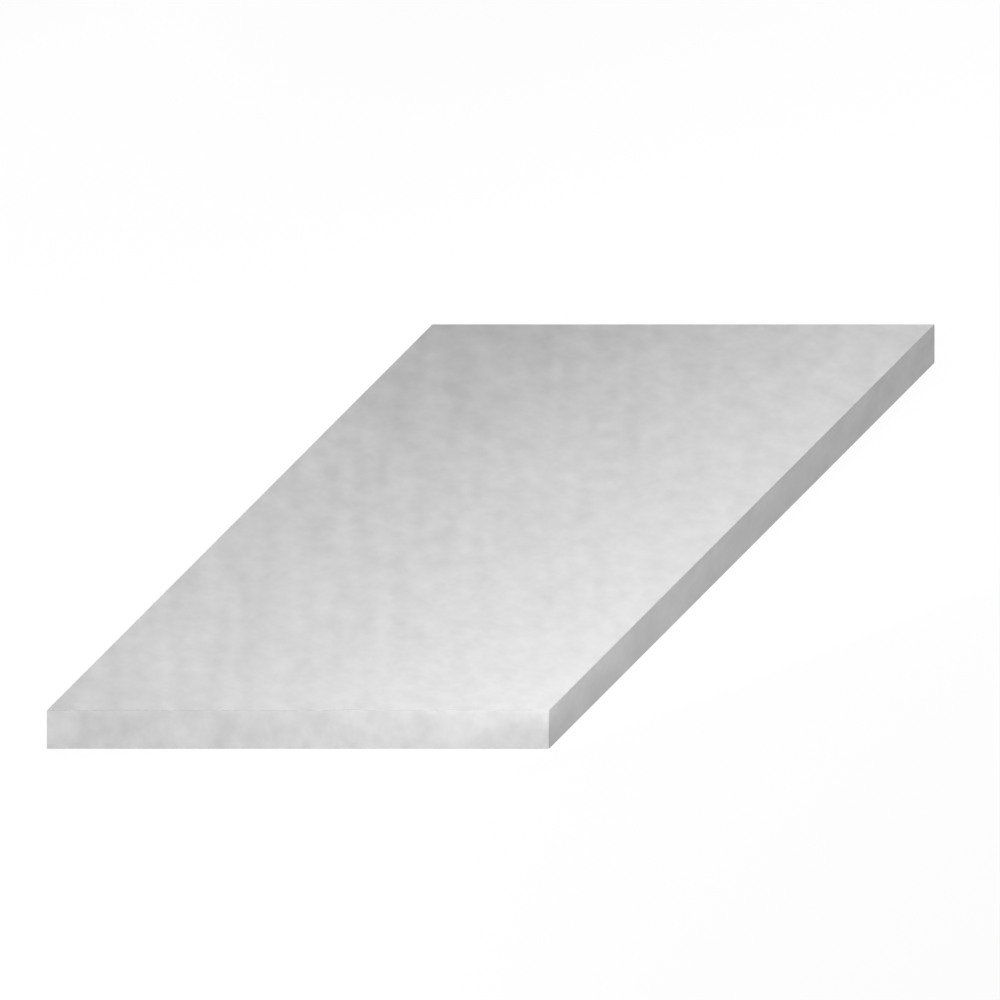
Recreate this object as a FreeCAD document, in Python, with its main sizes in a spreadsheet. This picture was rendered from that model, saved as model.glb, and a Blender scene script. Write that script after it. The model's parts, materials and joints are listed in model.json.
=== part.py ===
"""Rolled aluminum plate, sawn to a rectangle and eased along its edges: one solid, in millimetres.

The plate lies flat. X runs along its front edge, Y away from that edge and Z up through its thickness,
and the origin is the centre of the rolled face that it rests on. The two large faces are as rolled, so
their distance is a gauge that plate is sold in. The four narrow faces are square saw cuts, so the
outline has sharp corners in plan. A light pass of a file or an abrasive wheel takes the burr off all
twelve edges and leaves a small radius there, which closes in a ball at each of the eight corners.
"""

import FreeCAD, Part
import math
import os

import Sketcher

SIZES = (
    ("plate_thickness", 25.4, "rolled gauge, between the two rolled faces"),
    ("plate_width", 330.2, "sawn size along X, between the left and right cuts"),
    ("plate_depth", 355.6, "sawn size along Y, between the front and back cuts"),
    ("edge_ease", 0.2, "radius left where the burr is taken off an edge"),
)
FAILED_STATES = {"Invalid", "Error"}
SIZE_TOLERANCE = 0.001
VOLUME_TOLERANCE = 0.01

# How a sketch names its own centre and the two ends of a line
SKETCH_AXES = -1
CENTRE = 1
START = 1
END = 2


def make_size_sheet(doc):
    """One row for each driving size: its name, its value in millimetres and what it measures."""
    sheet = doc.addObject("Spreadsheet::Sheet", "sizes")
    for row, (name, value, meaning) in enumerate(SIZES, start=1):
        sheet.set(f"A{row}", name)
        sheet.set(f"B{row}", str(value))
        sheet.set(f"C{row}", meaning)
        sheet.setAlias(f"B{row}", name)
    doc.recompute()
    return sheet


def origin_plane(body, role):
    """The body's own origin plane of that role, such as XY_Plane."""
    return next(plane for plane in body.Origin.OriginFeatures if plane.Role == role)


def sketch_rectangle(body, name, width_size, depth_size):
    """A rectangle centred on the body's Z axis, in its XY plane, with the two named sizes for its sides."""
    sketch = body.newObject("Sketcher::SketchObject", name)
    sketch.AttachmentSupport = [(origin_plane(body, "XY_Plane"), "")]
    sketch.MapMode = "FlatFace"

    corners = [FreeCAD.Vector(x, y, 0) for x, y in ((-1, -1), (1, -1), (1, 1), (-1, 1))]
    sides = []
    for here, there in zip(corners, corners[1:] + corners[:1]):
        sides.append(sketch.addGeometry(Part.LineSegment(here, there), False))
    front, right, back, left = sides

    for side, next_side in zip(sides, sides[1:] + sides[:1]):
        sketch.addConstraint(Sketcher.Constraint("Coincident", side, END, next_side, START))
    for side in (front, back):
        sketch.addConstraint(Sketcher.Constraint("Horizontal", side))
    for side in (right, left):
        sketch.addConstraint(Sketcher.Constraint("Vertical", side))
    opposite_corners = (front, START, back, START)
    sketch.addConstraint(Sketcher.Constraint("Symmetric", *opposite_corners, SKETCH_AXES, CENTRE))

    for side, size in ((front, width_size), (right, depth_size)):
        drawn_length = sketch.Geometry[side].length()
        index = sketch.addConstraint(Sketcher.Constraint("Distance", side, drawn_length))
        sketch.renameConstraint(index, size)
        sketch.setExpression(f"Constraints.{size}", f"sizes.{size}")
    return sketch


def pad_upwards(body, sketch, name, height_size):
    """The sketch's area, thickened along +Z from the body's XY plane."""
    pad = body.newObject("PartDesign::Pad", name)
    pad.Profile = sketch
    pad.setExpression("Length", f"sizes.{height_size}")
    sketch.Visibility = False
    return pad


def ease_all_edges(body, solid, name, radius_size):
    """The solid with one small radius along every edge."""
    fillet = body.newObject("PartDesign::Fillet", name)
    fillet.Base = (solid, [""])
    fillet.UseAllEdges = True
    fillet.setExpression("Radius", f"sizes.{radius_size}")
    return fillet


def make_plate(doc):
    """The plate: a sawn rectangle, as thick as its rolled gauge, with the burr taken off every edge."""
    body = doc.addObject("PartDesign::Body", "aluminum_plate")
    body.Label = "aluminum_plate"
    outline = sketch_rectangle(body, "sawn_outline", "plate_width", "plate_depth")
    gauge = pad_upwards(body, outline, "rolled_gauge", "plate_thickness")
    body.Tip = ease_all_edges(body, gauge, "eased_edges", "edge_ease")
    doc.recompute()
    return body


def eased_block_volume(width, depth, thickness, radius):
    """Volume of a block that is eased all round.

    It is the inner block between the centres of the radii, a slab of one radius on each of its faces, a
    quarter cylinder along each of its edges and an eighth of a ball on each of its corners.
    """
    a, b, c = (side - 2 * radius for side in (width, depth, thickness))
    inner_block = a * b * c
    slabs = 2 * radius * (a * b + b * c + c * a)
    quarter_cylinders = math.pi * radius**2 * (a + b + c)
    ball = 4 / 3 * math.pi * radius**3
    return inner_block + slabs + quarter_cylinders + ball


def check_document(doc):
    """Stops with a plain message if any object of the document failed to recompute."""
    for item in doc.Objects:
        if FAILED_STATES & set(item.State):
            raise RuntimeError(f"{item.Label} failed to recompute: {item.State}")


def check_plate(plate, sheet):
    """Stops with a plain message if the plate isn't one sound solid of its sizes, eased all round."""
    shape = plate.Shape
    if shape.isNull() or not shape.isValid() or len(shape.Solids) != 1:
        raise RuntimeError(f"{plate.Label} isn't one valid solid")

    box = shape.BoundBox
    wanted = (sheet.plate_width, sheet.plate_depth, sheet.plate_thickness)
    for found, size in zip((box.XLength, box.YLength, box.ZLength), wanted):
        if abs(found - size) > SIZE_TOLERANCE:
            raise RuntimeError(f"{plate.Label} measures {found} where {size} is wanted")

    volume = eased_block_volume(*wanted, sheet.edge_ease)
    if abs(shape.Volume - volume) > VOLUME_TOLERANCE:
        raise RuntimeError(f"{plate.Label} has an edge that isn't eased")


def main():
    doc = FreeCAD.newDocument("plate_stock")
    sheet = make_size_sheet(doc)
    plate = make_plate(doc)
    check_document(doc)
    check_plate(plate, sheet)

    os.makedirs("parts", exist_ok=True)
    plate.Shape.exportStep(f"parts/{plate.Label}.step")
    print(f"{plate.Label}: {plate.Shape.Volume:.0f} mm3, {len(plate.Shape.Faces)} faces")


main()
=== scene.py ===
"""A sawn piece of rolled aluminum plate, lying flat in a plain pale studio. All sizes are in metres.

X runs along the plate's front edge, Y away from it and Z up, and the origin is the centre of the rolled
face that the plate rests on. The plate was rolled along X, so its fine grain lies that way.
"""

import json
import math
from collections import namedtuple

import bpy
import numpy as np
from bpy.props import FloatProperty, FloatVectorProperty, IntProperty, PointerProperty
from bpy.types import Operator, Panel, PropertyGroup
from mathutils import Matrix, Vector


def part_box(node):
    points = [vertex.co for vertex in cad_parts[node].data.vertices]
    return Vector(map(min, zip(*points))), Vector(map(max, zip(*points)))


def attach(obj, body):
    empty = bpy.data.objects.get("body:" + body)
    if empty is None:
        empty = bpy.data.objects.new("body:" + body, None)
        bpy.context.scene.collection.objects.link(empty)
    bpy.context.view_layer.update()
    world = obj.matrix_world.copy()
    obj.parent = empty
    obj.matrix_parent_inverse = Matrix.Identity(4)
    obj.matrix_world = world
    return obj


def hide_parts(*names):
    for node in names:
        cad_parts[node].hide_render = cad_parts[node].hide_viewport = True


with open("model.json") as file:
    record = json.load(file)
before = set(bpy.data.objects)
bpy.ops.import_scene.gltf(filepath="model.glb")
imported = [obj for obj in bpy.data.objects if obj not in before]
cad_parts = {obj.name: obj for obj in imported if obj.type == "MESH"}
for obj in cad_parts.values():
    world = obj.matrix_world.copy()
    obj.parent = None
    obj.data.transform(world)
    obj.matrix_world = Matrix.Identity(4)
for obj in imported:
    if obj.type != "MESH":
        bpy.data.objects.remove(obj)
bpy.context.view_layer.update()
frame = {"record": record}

bl_info = {
    "name": "Rolled Plate Stock",
    "version": (1, 0, 0),
    "blender": (4, 5, 0),
    "location": "3D View > Sidebar > Plate Stock",
    "description": "Makes a mill-finish plate with eased edges over its construction model, and a studio",
    "category": "Add Mesh",
}

MM = 0.001
WHITE = (1, 1, 1, 1)
BODY = "root"
PLATE_NODE = "aluminum_plate"
FINISH_SLOT = "mill_finish"

# The construction model's own box and colour, from which the plate and the camera take theirs
PLATE_LOW, PLATE_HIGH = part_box(PLATE_NODE)
PLATE_COLOR = next(m["base_color"] for m in frame["record"]["materials"] if m["slot"] == FINISH_SLOT)

# How the plate lies in the picture, which is PICTURE_SIZE pixels wide and high. Its front face is drawn
# square on, and its depth runs off to the right and up without getting smaller.
PICTURE_SIZE = 1000
PICTURE_LEFT_EDGE = 46.6
PICTURE_TOP_EDGE = 710.4
PICTURE_WIDTH = 502.4
PICTURE_DEPTH_RIGHT = 385.7
PICTURE_DEPTH_UP = 386.2

# How far the camera stands back from the plate's front, and the nearest and the farthest that it sees
CAMERA_DISTANCE = 2
CAMERA_NEAREST = 0.01
CAMERA_FARTHEST = 30

# Soft panels: where each stands, the point of the floor that it faces, its side and its power in watts
StudioPanel = namedtuple("StudioPanel", "name place aim side watts")
STUDIO_PANELS = (
    StudioPanel("corner_panel", (0.17, -0.125, 0.24), (-0.60, 0.773), 0.45, 0.946),
    StudioPanel("back_panel", (0.058, 0.292, 0.708), (0.517, -0.083), 0.76, 4.677),
    StudioPanel("front_panel", (-0.702, -0.812, 0.33), (0.285, -0.248), 0.60, 10.627),
    StudioPanel("left_panel", (-0.75, 0.10, 0.35), (-0.60, -0.165), 0.86, 1.898),
    StudioPanel("low_panel", (-0.034, -0.584, 0.12), (0.495, -0.458), 0.20, 1.392),
)

# Mesh cells up the four cuts, and cells from a face to the middle of its round
CELLS_UP = 14
ROUND_CELLS = 4

# Slow random swells of the surface: the shortest and the longest wave, how many waves, and their seed
Swell = namedtuple("Swell", "lengths count seed")
EDGE_SWELL = Swell((30 * MM, 140 * MM), 12, 3)
FACE_SWELL = Swell((18 * MM, 90 * MM), 24, 8)

# Random marks in the metal: their mean length, width and height, how far the length is turned from X
# towards Y, how many finer layers lie in them, and how strong each layer is beside the one before it
Marks = namedtuple("Marks", "size turn layers layer_strength")
CLOUDS = Marks((20 * MM, 10 * MM, 12 * MM), math.radians(-27), 2, 0.75)
STREAKS = Marks((90 * MM, 9 * MM, 30 * MM), math.radians(125.6), 0, 0.5)
CUT_CLOUDS = Marks((22 * MM, 22 * MM, 24 * MM), 0, 3, 0.7)
GRAIN = Marks((5 * MM, 0.12 * MM, 0.5 * MM), 0, 2, 0.5)
SAW_LINES = Marks((0.4 * MM, 0.4 * MM, 18 * MM), 0, 1, 0.5)
NOISE_MIDDLE = 0.5


class PlateFinish(PropertyGroup):
    """Sizes and colours of the rolled plate."""

    metal_color: FloatVectorProperty(
        name="Metal", description="Mean colour of the bare metal", subtype="COLOR", size=3, min=0, max=1,
        default=PLATE_COLOR,
    )
    cloud_depth: FloatProperty(
        name="Cloud depth", description="How far the clouds change the metal's colour, as a share of it",
        subtype="FACTOR", min=0, max=1, default=0.26,
    )
    streak_depth: FloatProperty(
        name="Streak depth", description="How far the streaks change the metal's colour, as a share of it",
        subtype="FACTOR", min=0, max=1, default=0.13,
    )
    streak_fade: FloatProperty(
        name="Streak fade", description="Share of the streaks at the left edge that is left at the right",
        subtype="FACTOR", min=0, max=1, default=0.2,
    )
    # Painted shade: the four sawn cuts are drawn darker than the rolled faces as a whole, standing in for
    # the shade that falls on the sides.
    cut_painted_shade_tone: FloatProperty(
        name="Cut tone", description="Tone of the sawn faces before their clouds, as a share of the metal's",
        subtype="FACTOR", min=0, max=1, default=0.92,
    )
    cut_cloud_depth: FloatProperty(
        name="Cut cloud depth", description="How far the clouds change the colour of the sawn faces",
        subtype="FACTOR", min=0, max=1, default=0.40,
    )
    side_cloud_share: FloatProperty(
        name="Side cloud share", description="Share of those clouds that the left and right cuts have",
        subtype="FACTOR", min=0, max=1, default=0.7,
    )
    roughness: FloatProperty(
        name="Roughness", description="Mean roughness of the mill finish", subtype="FACTOR", min=0, max=1,
        default=0.6,
    )
    cloud_roughness: FloatProperty(
        name="Cloud roughness", description="How far the clouds change the roughness",
        subtype="FACTOR", min=0, max=1, default=0.1,
    )
    ease_roughness: FloatProperty(
        name="Edge roughness", description="How much rougher the eased edges are than the faces",
        subtype="FACTOR", min=0, max=1, default=0.26,
    )
    grain_height: FloatProperty(
        name="Grain height", description="Depth of the fine lines that the rolls leave along the plate",
        unit="LENGTH", min=0, default=0.0015 * MM, precision=6,
    )
    saw_line_height: FloatProperty(
        name="Saw line height", description="Depth of the fine lines that the saw leaves on the four cuts",
        unit="LENGTH", min=0, default=0.004 * MM, precision=6,
    )
    ease_radius: FloatProperty(
        name="Edge radius", description="Mean radius left where the burr was taken off the edges",
        unit="LENGTH", min=0.1 * MM, max=2 * MM, default=0.2 * MM, precision=5,
    )
    ease_spread: FloatProperty(
        name="Edge unevenness", description="How far the edge radius swings either way, as a share of it",
        subtype="FACTOR", min=0, max=0.9, default=0.3,
    )
    wave_depth: FloatProperty(
        name="Waviness", description="Deepest hollow that the rolls and the saw leave in a face",
        unit="LENGTH", min=0, default=0.04 * MM, precision=6,
    )
    cells_across: IntProperty(
        name="Cells across", description="Mesh cells along the width and the depth of the plate",
        min=4, max=200, default=140,
    )


class StudioLight(PropertyGroup):
    """Levels of the studio's lamps, air and floor."""

    panel_level: FloatProperty(
        name="Panel level", description="Power of the soft panels, as a share of what they are set to",
        subtype="FACTOR", min=0, default=1,
    )
    air_level: FloatProperty(
        name="Air", description="Mean brightness of the studio's air above the floor", min=0, default=0.191,
    )
    air_slope: FloatVectorProperty(
        name="Air slope", description="How much brighter the air is straight along X, Y and Z", size=3,
        default=(0.062, 0.098, 0),
    )
    air_below: FloatProperty(
        name="Air below", description="Brightness of the air below the horizon", min=0, default=0.985,
    )
    horizon_height: FloatProperty(
        name="Horizon height", description="Sine of the angle over which the horizon's brightness fades",
        subtype="FACTOR", min=0, max=1, default=0.06,
    )
    floor_color: FloatVectorProperty(
        name="Floor", description="Colour of the pale floor", subtype="COLOR", size=3, min=0, max=1,
        default=(0.95, 0.95, 0.95),
    )
    floor_white_share: FloatProperty(
        name="Floor white", description="How much of the floor shows as plain white, and so without shadow",
        subtype="FACTOR", min=0, max=1, default=0.94,
    )
    floor_size: FloatProperty(
        name="Floor size", description="Side of the square floor", unit="LENGTH", min=1, default=24,
    )


def unit(vectors):
    """Each row over its own length."""
    return vectors / np.linalg.norm(vectors, axis=-1, keepdims=True)


def lattice_lines(cells):
    """Lines of the lattice along one axis, as two arrays: place and lean.

    Place is where the line lies on the block between the rounds, from -1 to 1 in even cells. Lean is 0
    there. On a round, place stays at -1 or 1 and lean is the tangent of an angle that grows from 0 to 45
    degrees in even steps, so that two neighbouring faces meet on the middle of their round.
    """
    lean = np.tan(np.linspace(0, math.pi / 4, ROUND_CELLS + 1)[1:])
    still = np.ones(ROUND_CELLS)
    place = np.concatenate((-still, np.linspace(-1, 1, cells + 1), still))
    return place, np.concatenate((-lean[::-1], np.zeros(cells + 1), lean))


def block_skin(counts):
    """Lattice points on the outside of a block, and the quads between them.

    Each of the six faces is a grid in two lattice directions, on the first or last line of the third. A
    point's number is the same from every face that holds it, so the faces share their edges.
    """
    quads = []
    for axis in range(3):
        across, along = (axis + 1) % 3, (axis + 2) % 3
        for last in (False, True):
            index = [None] * 3
            index[across], index[along] = np.meshgrid(
                np.arange(counts[across]), np.arange(counts[along]), indexing="ij"
            )
            index[axis] = np.full_like(index[across], counts[axis] - 1 if last else 0)
            number = np.ravel_multi_index(index, counts)
            corners = (number[:-1, :-1], number[1:, :-1], number[1:, 1:], number[:-1, 1:])
            face = np.stack(corners, axis=-1).reshape(-1, 4)
            quads.append(face if last else face[:, ::-1])
    numbers, quads = np.unique(np.concatenate(quads), return_inverse=True)
    return np.unravel_index(numbers, counts), quads.reshape(-1, 4)


def swell_at(points, swell):
    """Height and slope of a random swell at each point.

    The height is a sum of plane waves, each the sine of a point's distance along a random direction over
    a random length between the swell's two, plus a random phase. It's scaled to run from 0 to 1. The
    slope is the same sum with each sine replaced by its cosine times that direction over that length.
    """
    rng = np.random.default_rng(swell.seed)
    direction = unit(rng.normal(size=(swell.count, 3)))
    turns = direction * (2 * math.pi / rng.uniform(*swell.lengths, size=(swell.count, 1)))
    angle = points @ turns.T + rng.uniform(0, 2 * math.pi, size=swell.count)
    height = np.sin(angle).mean(axis=1)
    slope = np.cos(angle) @ turns / swell.count
    low, high = height.min(), height.max()
    return (height - low) / (high - low), slope / (high - low)


def plate_surface(low, high, finish):
    """Points, normals, quads and three traits of an eased plate between two corners.

    A point is its place times the half size of the block between the rounds, plus the edge radius times
    the unit vector of its lean, which is also the normal. So it lies on a flat face where one lean isn't
    0, on a quarter cylinder where two aren't and on a ball where all three aren't. The radius swells and
    shrinks along the edges, and each point then sinks along its normal by the depth of a slow swell,
    whose slope tilts the normal. Of the traits, sawn is how far a normal lies level, side is how far it
    points left or right, and eased is 1 on a round and 0 on a flat face.
    """
    centre, half = (np.array(high) + np.array(low)) / 2, (np.array(high) - np.array(low)) / 2
    lines = [lattice_lines(cells) for cells in (finish.cells_across, finish.cells_across, CELLS_UP)]
    index, quads = block_skin([len(place) for place, _ in lines])
    place = np.stack([line[i] for (line, _), i in zip(lines, index)], axis=-1)
    lean = np.stack([line[i] for (_, line), i in zip(lines, index)], axis=-1)
    normal = unit(lean)

    swing, _ = swell_at(place * half, EDGE_SWELL)
    radius = finish.ease_radius * (1 + finish.ease_spread * (2 * swing[:, None] - 1))
    points = centre + place * (half - radius) + radius * normal

    hollow, slope = swell_at(points, FACE_SWELL)
    points = points - finish.wave_depth * hollow[:, None] * normal
    along = slope - normal * (slope * normal).sum(axis=-1, keepdims=True)
    eased = (np.abs(lean) > 0).sum(axis=-1) > 1
    traits = {"sawn": 1 - normal[:, 2] ** 2, "side": normal[:, 0] ** 2, "eased": eased}
    return points, unit(normal + finish.wave_depth * along), quads, traits


def mesh_object(name, points, normals, quads, traits):
    """A smooth mesh object of those quads at the origin, with a point attribute for each named trait."""
    mesh = bpy.data.meshes.new(name)
    mesh.vertices.add(len(points))
    mesh.vertices.foreach_set("co", points.astype(np.float32).ravel())
    mesh.loops.add(quads.size)
    mesh.loops.foreach_set("vertex_index", quads.astype(np.int32).ravel())
    mesh.polygons.add(len(quads))
    mesh.polygons.foreach_set("loop_start", np.arange(0, quads.size, 4, dtype=np.int32))
    mesh.update(calc_edges=True)
    mesh.shade_smooth()
    mesh.normals_split_custom_set_from_vertices(normals)
    for trait, values in traits.items():
        attribute = mesh.attributes.new(trait, "FLOAT", "POINT")
        attribute.data.foreach_set("value", values.astype(np.float32))
    if mesh.validate():
        raise RuntimeError(f"{name} has a face that isn't sound")
    piece = bpy.data.objects.new(name, mesh)
    bpy.context.scene.collection.objects.link(piece)
    return piece


def new_material(name):
    """An empty node material, and its node tree."""
    material = bpy.data.materials.new(name)
    material.use_nodes = True
    material.node_tree.nodes.clear()
    return material, material.node_tree


def add_node(tree, kind, sockets=None, **settings):
    """A node of that kind with those settings. A socket takes a value, or an output of another node."""
    node = tree.nodes.new(kind)
    for setting, value in settings.items():
        setattr(node, setting, value)
    for socket, value in (sockets or {}).items():
        if isinstance(value, bpy.types.NodeSocket):
            tree.links.new(value, node.inputs[socket])
        else:
            node.inputs[socket].default_value = value
    return node


def add_math(tree, operation, *values):
    """The result of one sum, product or the like of the values."""
    return add_node(tree, "ShaderNodeMath", dict(enumerate(values)), operation=operation).outputs[0]


def add_trait(tree, name):
    """The value of one of the plate's traits."""
    return add_node(tree, "ShaderNodeAttribute", attribute_name=name).outputs["Fac"]


def add_marks(tree, place, marks):
    """Random marks of that kind. The result runs about 0, from -0.5 to 0.5 at the most."""
    mapping = add_node(tree, "ShaderNodeMapping", {
        "Vector": place, "Rotation": (0, 0, marks.turn), "Scale": marks.size,
    }, vector_type="TEXTURE")
    noise = add_node(tree, "ShaderNodeTexNoise", {
        "Vector": mapping.outputs[0], "Scale": 1, "Detail": marks.layers, "Roughness": marks.layer_strength,
    })
    return add_math(tree, "SUBTRACT", noise.outputs[0], NOISE_MIDDLE)


def rolled_change(tree, place, clouds, finish):
    """How far clouds and streaks change the tone of a rolled face. The streaks fade from left to right."""
    streaks = add_marks(tree, place, STREAKS)
    fade = add_node(tree, "ShaderNodeMapRange", {
        "Value": add_node(tree, "ShaderNodeSeparateXYZ", {0: place}).outputs["X"],
        "From Min": PLATE_LOW.x, "From Max": PLATE_HIGH.x, "To Min": 1, "To Max": finish.streak_fade,
    })
    streaks = add_math(tree, "MULTIPLY", streaks, fade.outputs[0])
    change = add_math(tree, "MULTIPLY", clouds, finish.cloud_depth)
    return add_math(tree, "MULTIPLY_ADD", streaks, finish.streak_depth, change)


def cut_change(tree, place, finish):
    """How far painted shade and clouds change the tone of a cut. The whole cut is darkened as painted shade,
    and the clouds are faint on left and right.
    """
    clouds = add_marks(tree, place, CUT_CLOUDS)
    side_drop = finish.cut_cloud_depth * (finish.side_cloud_share - 1)
    depth = add_math(tree, "MULTIPLY_ADD", add_trait(tree, "side"), side_drop, finish.cut_cloud_depth)
    # Painted shade: every cut's tone drops by the same share below the metal's own.
    return add_math(tree, "ADD", add_math(tree, "MULTIPLY", clouds, depth), finish.cut_painted_shade_tone - 1)


def fine_relief(tree, place, rolled, sawn, finish):
    """Normals bent by the rolling grain on the two large faces and by the saw lines on the four cuts."""
    grain = add_math(tree, "MULTIPLY", add_marks(tree, place, GRAIN), finish.grain_height)
    saw_lines = add_math(tree, "MULTIPLY", add_marks(tree, place, SAW_LINES), finish.saw_line_height)
    grain = add_math(tree, "MULTIPLY", grain, rolled)
    saw_lines = add_math(tree, "MULTIPLY", saw_lines, sawn)
    height = add_math(tree, "ADD", grain, saw_lines)
    return add_node(tree, "ShaderNodeBump", {"Strength": 1, "Distance": 1, "Height": height}).outputs[0]


def mill_finish_material(finish):
    """Bare rolled metal: soft clouds and faint streaks in its tone, painted shade that darkens the four
    cuts, fine grain, and rougher eased edges.
    """
    material, tree = new_material("rolled_mill_finish")
    place = add_node(tree, "ShaderNodeTexCoord").outputs["Object"]
    sawn = add_trait(tree, "sawn")
    rolled = add_math(tree, "SUBTRACT", 1, sawn)
    clouds = add_marks(tree, place, CLOUDS)

    tone = add_math(tree, "MULTIPLY_ADD", rolled_change(tree, place, clouds, finish), rolled, 1)
    # The cuts take their clouds and their painted shade, which darkens them all.
    tone = add_math(tree, "MULTIPLY_ADD", cut_change(tree, place, finish), sawn, tone)
    toned_metal = {0: tuple(finish.metal_color), "Scale": tone}
    color = add_node(tree, "ShaderNodeVectorMath", toned_metal, operation="SCALE").outputs[0]

    roughness = add_math(tree, "MULTIPLY_ADD", clouds, finish.cloud_roughness, finish.roughness)
    roughness = add_math(tree, "MULTIPLY_ADD", add_trait(tree, "eased"), finish.ease_roughness, roughness)

    metal = add_node(tree, "ShaderNodeBsdfPrincipled", {
        "Base Color": color, "Metallic": 1, "Roughness": roughness,
        "Normal": fine_relief(tree, place, rolled, sawn, finish),
    })
    add_node(tree, "ShaderNodeOutputMaterial", {"Surface": metal.outputs[0]})
    return material


def floor_material(studio):
    """A matt pale floor that cameras and shiny things see mostly as plain white, with a faint shadow."""
    material, tree = new_material("pale_floor")
    rays = add_node(tree, "ShaderNodeLightPath").outputs
    seen = add_math(tree, "ADD", rays["Is Camera Ray"], rays["Is Glossy Ray"])
    seen = add_math(tree, "ADD", seen, rays["Is Transmission Ray"])
    share = add_math(tree, "MULTIPLY", seen, studio.floor_white_share)
    matt = add_node(tree, "ShaderNodeBsdfDiffuse", {"Color": (*studio.floor_color, 1)})
    white = add_node(tree, "ShaderNodeEmission", {"Color": WHITE, "Strength": 1})
    mixed = add_node(tree, "ShaderNodeMixShader", {0: share, 1: matt.outputs[0], 2: white.outputs[0]})
    add_node(tree, "ShaderNodeOutputMaterial", {"Surface": mixed.outputs[0]})
    return material


def add_floor(studio):
    """One flat square under the plate, centred on it."""
    half = studio.floor_size / 2
    corners = [(-half, -half, 0), (half, -half, 0), (half, half, 0), (-half, half, 0)]
    mesh = bpy.data.meshes.new("floor")
    mesh.from_pydata(corners, [], [(0, 1, 2, 3)])
    mesh.materials.append(floor_material(studio))
    floor = bpy.data.objects.new("floor", mesh)
    bpy.context.scene.collection.objects.link(floor)


def add_studio_air(studio):
    """Air that is nearly white below the horizon, as the floor is.

    Above the horizon its brightness is the level plus the dot product of its direction and the slope.
    """
    world = bpy.data.worlds.new("studio_air")
    bpy.context.scene.world = world
    world.use_nodes = True
    tree = world.node_tree
    tree.nodes.clear()
    direction = add_node(tree, "ShaderNodeTexCoord").outputs["Generated"]
    rise = add_node(tree, "ShaderNodeSeparateXYZ", {0: direction}).outputs["Z"]
    slope = {0: direction, 1: tuple(studio.air_slope)}
    slope = add_node(tree, "ShaderNodeVectorMath", slope, operation="DOT_PRODUCT").outputs["Value"]
    fall = add_node(tree, "ShaderNodeMapRange", {
        "Value": rise, "From Min": 0, "From Max": studio.horizon_height,
        "To Min": studio.air_below, "To Max": add_math(tree, "ADD", slope, studio.air_level),
    }, interpolation_type="SMOOTHSTEP")
    air = add_node(tree, "ShaderNodeBackground", {"Color": WHITE, "Strength": fall.outputs[0]})
    add_node(tree, "ShaderNodeOutputWorld", {"Surface": air.outputs[0]})


def add_panel(panel, studio):
    """One soft square lamp, which cameras don't see."""
    data = bpy.data.lights.new(panel.name, "AREA")
    data.shape = "SQUARE"
    data.size = panel.side
    data.energy = panel.watts * studio.panel_level
    lamp = bpy.data.objects.new(panel.name, data)
    lamp.location = panel.place
    lamp.rotation_mode = "QUATERNION"
    lamp.rotation_quaternion = (Vector((*panel.aim, 0)) - lamp.location).to_track_quat("-Z", "Y")
    lamp.visible_camera = False
    bpy.context.scene.collection.objects.link(lamp)


def add_camera():
    """A flat-projection camera that draws the plate as the picture does.

    Everything drawn at one point of the picture lies on one line, which runs towards the camera by the
    slants for each metre towards the front. The camera's own right and up stay X and Z while its back
    lies along that line, so its axes aren't square. Only a parent's matrix can hold such axes.
    """
    width, depth = PLATE_HIGH.x - PLATE_LOW.x, PLATE_HIGH.y - PLATE_LOW.y
    pixel = width / PICTURE_WIDTH
    slant_right = PICTURE_DEPTH_RIGHT * pixel / depth
    slant_up = PICTURE_DEPTH_UP * pixel / depth
    back = Vector((slant_right, -1, slant_up)).normalized()
    middle = Vector((
        PLATE_LOW.x + (PICTURE_SIZE / 2 - PICTURE_LEFT_EDGE) * pixel,
        PLATE_LOW.y,
        PLATE_HIGH.z + (PICTURE_TOP_EDGE - PICTURE_SIZE / 2) * pixel,
    ))
    place = middle + CAMERA_DISTANCE * back

    data = bpy.data.cameras.new("camera")
    data.type = "ORTHO"
    data.ortho_scale = PICTURE_SIZE * pixel
    data.clip_start = CAMERA_NEAREST
    data.clip_end = CAMERA_FARTHEST
    camera = bpy.data.objects.new("camera", data)
    stand = bpy.data.objects.new("camera_stand", None)
    camera.parent = stand
    camera.matrix_parent_inverse = Matrix((
        (1, 0, back.x, place.x),
        (0, 0, back.y, place.y),
        (0, 1, back.z, place.z),
        (0, 0, 0, 1),
    ))
    for item in (stand, camera):
        bpy.context.scene.collection.objects.link(item)
    bpy.context.scene.camera = camera


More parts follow.
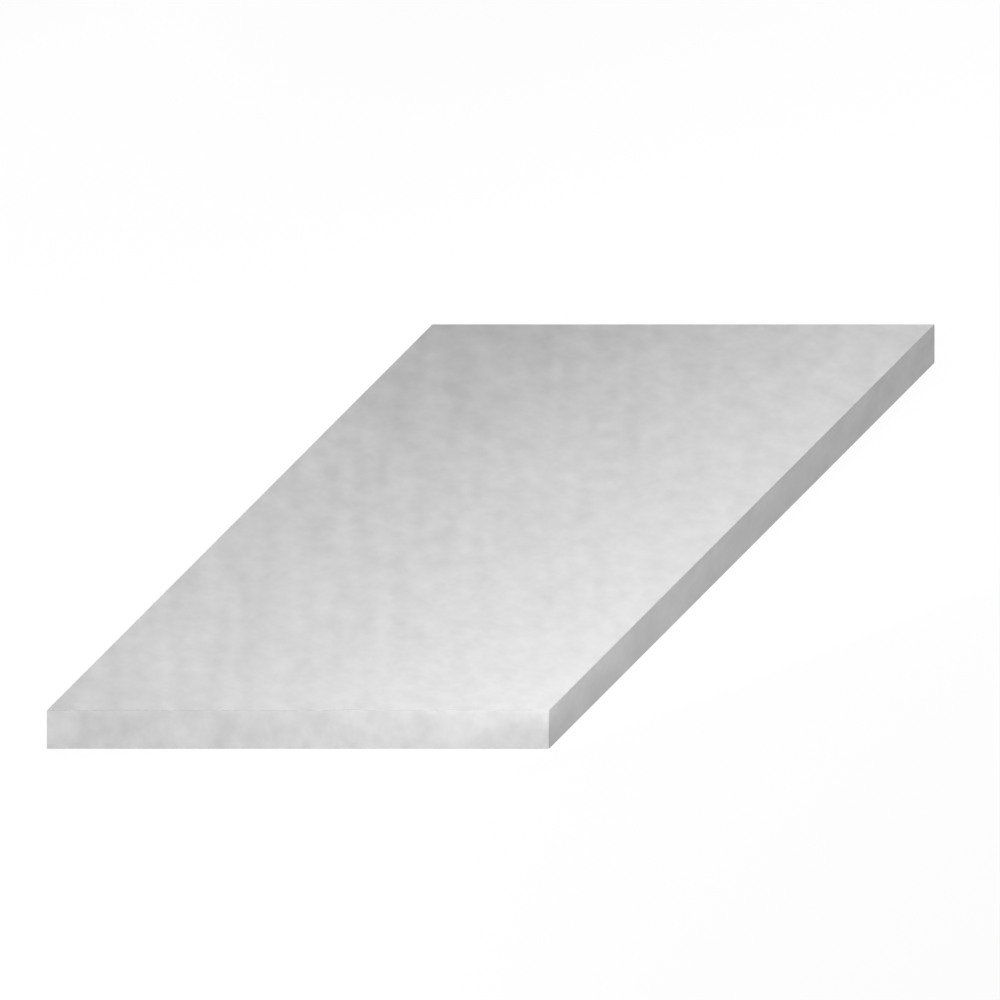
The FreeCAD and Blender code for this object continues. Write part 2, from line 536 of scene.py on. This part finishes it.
class PLATE_STOCK_OT_add_plate(Operator):
    """Make the rolled plate with its eased edges and mill finish"""

    bl_idname = "plate_stock.add_plate"
    bl_label = "Add Rolled Plate"
    bl_options = {"REGISTER", "UNDO"}

    def execute(self, context):
        finish = context.scene.plate_finish
        plate = mesh_object("rolled_plate", *plate_surface(PLATE_LOW, PLATE_HIGH, finish))
        plate.data.materials.append(mill_finish_material(finish))
        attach(plate, BODY)
        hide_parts(PLATE_NODE)
        return {"FINISHED"}


class PLATE_STOCK_OT_add_studio(Operator):
    """Make the floor, the air, the lamps and the camera round the plate"""

    bl_idname = "plate_stock.add_studio"
    bl_label = "Add Studio"
    bl_options = {"REGISTER", "UNDO"}

    def execute(self, context):
        studio = context.scene.studio_light
        add_floor(studio)
        add_studio_air(studio)
        for panel in STUDIO_PANELS:
            add_panel(panel, studio)
        add_camera()
        context.scene.view_settings.view_transform = "Standard"
        return {"FINISHED"}


class PLATE_STOCK_PT_sidebar(Panel):
    """The plate's and the studio's sizes and colours, with the button that makes each"""

    bl_idname = "PLATE_STOCK_PT_sidebar"
    bl_label = "Plate Stock"
    bl_space_type = "VIEW_3D"
    bl_region_type = "UI"
    bl_category = "Plate Stock"

    def draw(self, context):
        groups = (
            (context.scene.plate_finish, PLATE_STOCK_OT_add_plate),
            (context.scene.studio_light, PLATE_STOCK_OT_add_studio),
        )
        for group, operator in groups:
            box = self.layout.box()
            for name in group.__annotations__:
                box.prop(group, name)
            box.operator(operator.bl_idname)


CLASSES = (
    PlateFinish,
    StudioLight,
    PLATE_STOCK_OT_add_plate,
    PLATE_STOCK_OT_add_studio,
    PLATE_STOCK_PT_sidebar,
)


def register():
    for item in CLASSES:
        bpy.utils.register_class(item)
    bpy.types.Scene.plate_finish = PointerProperty(type=PlateFinish)
    bpy.types.Scene.studio_light = PointerProperty(type=StudioLight)


def unregister():
    del bpy.types.Scene.studio_light
    del bpy.types.Scene.plate_finish
    for item in reversed(CLASSES):
        bpy.utils.unregister_class(item)


def main():
    """Makes the plate and its studio."""
    register()
    bpy.ops.plate_stock.add_plate()
    bpy.ops.plate_stock.add_studio()


if __name__ == "__main__":
    main()
